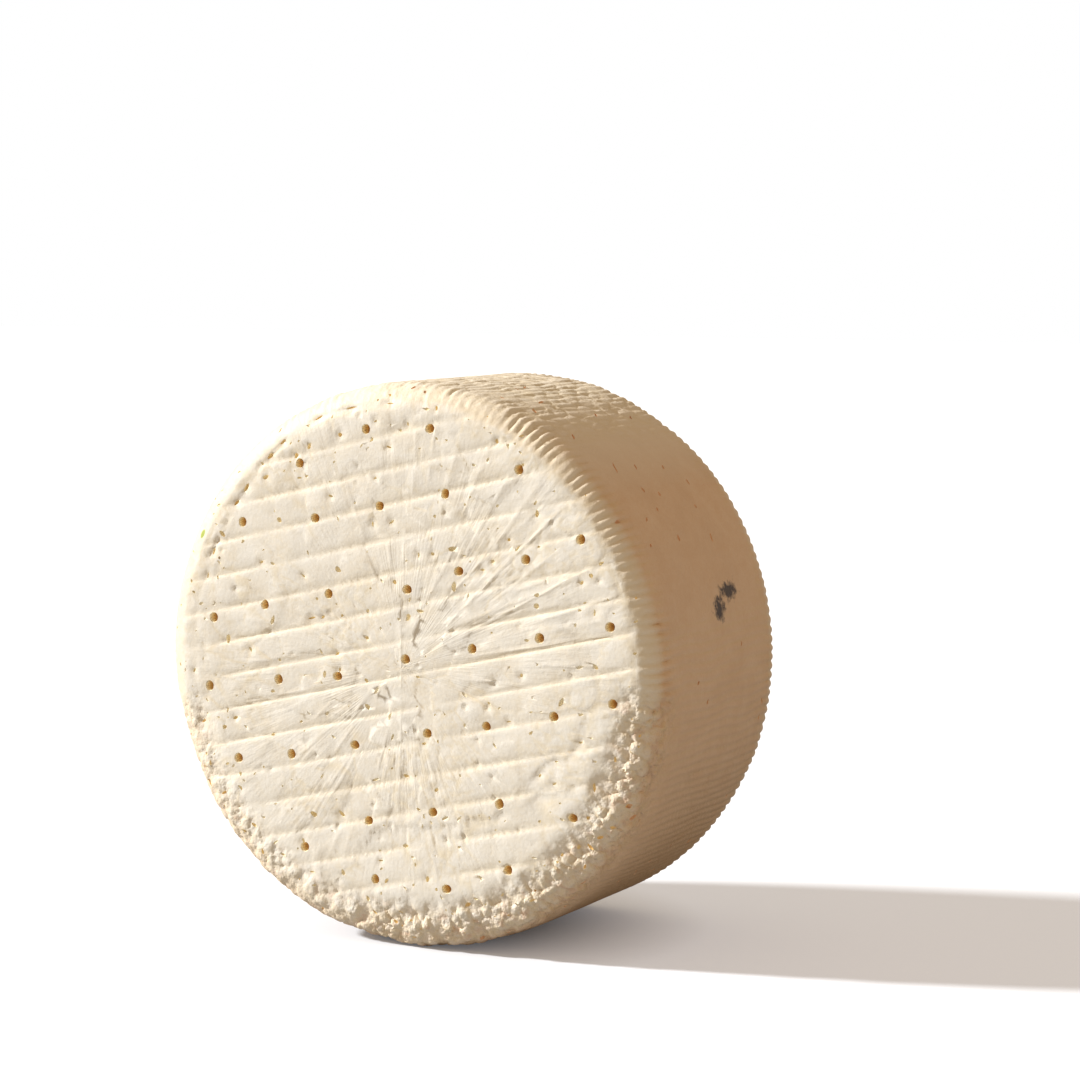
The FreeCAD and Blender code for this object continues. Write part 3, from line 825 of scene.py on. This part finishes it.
# crumbs that have browned in the air
crumb = put(tree, "ShaderNodeAttribute", (-900, -350), attribute_name="crumbly")
browned = put(tree, "ShaderNodeTexNoise", (-900, -400), {"Scale": 0.22, "Detail": 3.0})
tree.links.new(spot, browned.inputs["Vector"])
brown = put(tree, "ShaderNodeMapRange", (-700, -400),
            {"From Min": 0.56, "From Max": 0.68, "To Max": 0.75})
tree.links.new(browned.outputs["Fac"], brown.inputs["Value"])
browning = maths(tree, (-550, -400), "MULTIPLY", brown.outputs[0], crumb.outputs["Fac"])
skin_colour = blend_colours(tree, (-400, 200), browning, skin_colour, (0.740, 0.520, 0.370, 1.0))

# grey-blue mould that has come through the rim in two joined blotches
ragged = put(tree, "ShaderNodeTexNoise", (-1300, -500),
             {"Scale": 0.35, "Detail": 5.0, "Roughness": 0.65})
tree.links.new(spot, ragged.inputs["Vector"])
for turn, inward, up, along in ((15.6, 60.5, 4.0, 8.0), (12.4, 51.5, 4.2, 5.0)):
    angle = math.radians(turn)
    blotch = put(tree, "ShaderNodeMapping", (-1100, -700), {
        "Location": (RADIUS * math.cos(angle), inward - THICKNESS / 2, RADIUS * math.sin(angle)),
        "Rotation": (0.0, -angle, 0.0), "Scale": (12.0, along, up)}, vector_type="TEXTURE")
    tree.links.new(spot, blotch.inputs["Vector"])
    away = put(tree, "ShaderNodeVectorMath", (-900, -700), operation="LENGTH")
    tree.links.new(blotch.outputs[0], away.inputs[0])
    torn = maths(tree, (-700, -700), "MULTIPLY_ADD", ragged.outputs["Fac"], -2.6,
                 away.outputs["Value"])
    stain = put(tree, "ShaderNodeMapRange", (-500, -700), {"From Min": -0.28, "From Max": -0.85})
    tree.links.new(torn, stain.inputs["Value"])
    skin_colour = blend_colours(tree, (-250, 100), stain.outputs[0], skin_colour,
                                (0.105, 0.088, 0.092, 1.0))

# a green fleck of leaf stuck to the left shoulder, and a dark speck below it
for place, scale, colour in (
        ((-81.4, 1.8, 42.4), (0.9, 4.0, 1.7), (0.400, 0.480, 0.080, 1.0)),
        ((-73.9, 0.5, 34.4), (0.5, 3.0, 0.5), (0.260, 0.180, 0.080, 1.0))):
    fleck = put(tree, "ShaderNodeMapping", (-1100, -950), {
        "Location": (place[0], place[1] - THICKNESS / 2, place[2]), "Rotation": (0.0, 0.5, 0.0),
        "Scale": scale}, vector_type="TEXTURE")
    tree.links.new(spot, fleck.inputs["Vector"])
    away = put(tree, "ShaderNodeVectorMath", (-900, -950), operation="LENGTH")
    tree.links.new(fleck.outputs[0], away.inputs[0])
    stain = put(tree, "ShaderNodeMapRange", (-500, -950), {"From Min": 1.15, "From Max": 0.85})
    tree.links.new(away.outputs["Value"], stain.inputs["Value"])
    skin_colour = blend_colours(tree, (-50, 100), stain.outputs[0], skin_colour, colour)
tree.links.new(skin_colour, skin_shader.inputs["Base Color"])

# fine streaks that cloth has drawn outwards over the faces
FAN_CENTRE = (1.0, 1.0)
off_x = maths(tree, (-1100, -1200), "SUBTRACT", parts.outputs["X"], FAN_CENTRE[0])
off_z = maths(tree, (-1100, -1350), "SUBTRACT", parts.outputs["Z"], FAN_CENTRE[1])
bearing = maths(tree, (-900, -1200), "ARCTAN2", off_z, off_x)
reach_squared = maths(tree, (-900, -1350), "MULTIPLY", off_x, off_x)
reach_squared = maths(tree, (-750, -1350), "MULTIPLY_ADD", off_z, off_z, reach_squared)
out = maths(tree, (-600, -1350), "SQRT", reach_squared)
polar = put(tree, "ShaderNodeCombineXYZ", (-450, -1250))
tree.links.new(maths(tree, (-600, -1200), "MULTIPLY", bearing, 42.0), polar.inputs["X"])
tree.links.new(maths(tree, (-450, -1400), "MULTIPLY", out, 0.07), polar.inputs["Y"])
streaks = put(tree, "ShaderNodeTexNoise", (-250, -1250),
              {"Scale": 1.0, "Detail": 2.0, "Roughness": 0.5})
tree.links.new(polar.outputs[0], streaks.inputs["Vector"])
patches = put(tree, "ShaderNodeTexNoise", (-450, -1600), {"Scale": 0.045, "Detail": 2.0})
tree.links.new(spot, patches.inputs["Vector"])
rubbed = put(tree, "ShaderNodeMapRange", (-250, -1600),
             {"From Min": 0.42, "From Max": 0.62, "To Min": 0.1})
tree.links.new(patches.outputs["Fac"], rubbed.inputs["Value"])
streak_relief = maths(tree, (-50, -1400), "MULTIPLY", streaks.outputs["Fac"], rubbed.outputs[0])

# fine relief: the curd's own grain, rougher on the rim, then the streaks, then the crumbs
fine_bump = put(tree, "ShaderNodeBump", (-50, -500), {"Distance": 0.0005})
rougher = maths(tree, (-250, -500), "MULTIPLY_ADD", rim_dried_and_shaded.outputs[0], 0.30, 0.22)
tree.links.new(rougher, fine_bump.inputs["Strength"])
tree.links.new(own_grain.outputs["Relief"], fine_bump.inputs["Height"])
streak_bump = put(tree, "ShaderNodeBump", (150, -700), {"Strength": 0.45, "Distance": 0.0004})
tree.links.new(streak_relief, streak_bump.inputs["Height"])
tree.links.new(fine_bump.outputs[0], streak_bump.inputs["Normal"])
crumb_cells = put(tree, "ShaderNodeTexVoronoi", (-500, -2400), {"Scale": 0.55, "Detail": 1.0})
tree.links.new(spot, crumb_cells.inputs["Vector"])
crumb_relief = maths(tree, (-300, -2400), "MULTIPLY", crumb_cells.outputs["Distance"],
                     crumb.outputs["Fac"])
crumb_bump = put(tree, "ShaderNodeBump", (220, -900), {"Strength": 0.6, "Distance": 0.0006},
                 invert=True)
tree.links.new(crumb_relief, crumb_bump.inputs["Height"])
tree.links.new(streak_bump.outputs[0], crumb_bump.inputs["Normal"])
tree.links.new(crumb_bump.outputs[0], skin_shader.inputs["Normal"])
waxy = put(tree, "ShaderNodeMapRange", (-250, -100),
           {"From Min": 0.3, "From Max": 0.7, "To Min": 0.62, "To Max": 0.48})
tree.links.new(own_grain.outputs["Tone"], waxy.inputs["Value"])
tree.links.new(waxy.outputs[0], skin_shader.inputs["Roughness"])
skin_shader.inputs["Specular IOR Level"].default_value = 0.35

# broken curd inside gaps and holes: paler near the skin, golden below it and browner deeper
# in, orange in the rim. The golden is painted light that comes through the curd, and the brown
# deep in a hole is painted shade. The faint glow stands for light that comes through the curd
# round a hole.
open_curd.use_nodes = True
tree = open_curd.node_tree
curd_shader = tree.nodes["Principled BSDF"]
spot = from_axis(tree)
own_grain = put(tree, "ShaderNodeGroup", (-1300, 300), node_tree=grain)
own_grain.inputs["Size"].default_value = 1.6
tree.links.new(spot, own_grain.inputs["Vector"])
parts = put(tree, "ShaderNodeSeparateXYZ", (-1300, 0))
tree.links.new(spot, parts.inputs[0])
flat = put(tree, "ShaderNodeVectorMath", (-1300, -200), {1: (1.0, 0.0, 1.0)},
           operation="MULTIPLY")
tree.links.new(spot, flat.inputs[0])
reach = put(tree, "ShaderNodeVectorMath", (-1100, -200), operation="LENGTH")
tree.links.new(flat.outputs[0], reach.inputs[0])
far = maths(tree, (-1100, 0), "ABSOLUTE", parts.outputs["Y"])
from_face = maths(tree, (-900, 0), "SUBTRACT", THICKNESS / 2, far)
from_rim = maths(tree, (-900, -200), "SUBTRACT", RADIUS, reach.outputs["Value"])
under = maths(tree, (-700, -100), "MINIMUM", from_face, from_rim)
under = maths(tree, (-550, -100), "MULTIPLY_ADD", own_grain.outputs["Tone"], 0.8, under)
under = maths(tree, (-400, -100), "DIVIDE", under, 10.0)
curd_painted_glow_and_shade = ramp(tree, (-250, 0), under, (
    (0.10, (0.910, 0.850, 0.700, 1.0)),
    (0.17, (0.920, 0.820, 0.580, 1.0)),
    (0.26, (0.950, 0.770, 0.430, 1.0)),
    (0.50, (0.950, 0.650, 0.250, 1.0)),
    (0.95, (0.650, 0.350, 0.110, 1.0)),
))
at_rim = maths(tree, (-550, 200), "LESS_THAN", from_rim, from_face)
curd_painted_glow_and_shade = blend_colours(tree, (0, 100), at_rim, curd_painted_glow_and_shade, (0.780, 0.480, 0.270, 1.0))
tree.links.new(curd_painted_glow_and_shade, curd_shader.inputs["Base Color"])
curd_bump = put(tree, "ShaderNodeBump", (0, -300), {"Strength": 0.6, "Distance": 0.0006})
tree.links.new(own_grain.outputs["Relief"], curd_bump.inputs["Height"])
tree.links.new(curd_bump.outputs[0], curd_shader.inputs["Normal"])
curd_shader.inputs["Roughness"].default_value = 0.55
curd_shader.inputs["Specular IOR Level"].default_value = 0.35
tree.links.new(curd_painted_glow_and_shade, curd_shader.inputs["Emission Color"])
curd_shader.inputs["Emission Strength"].default_value = 0.05

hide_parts("cheese_wheel")
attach(wheel, "root")
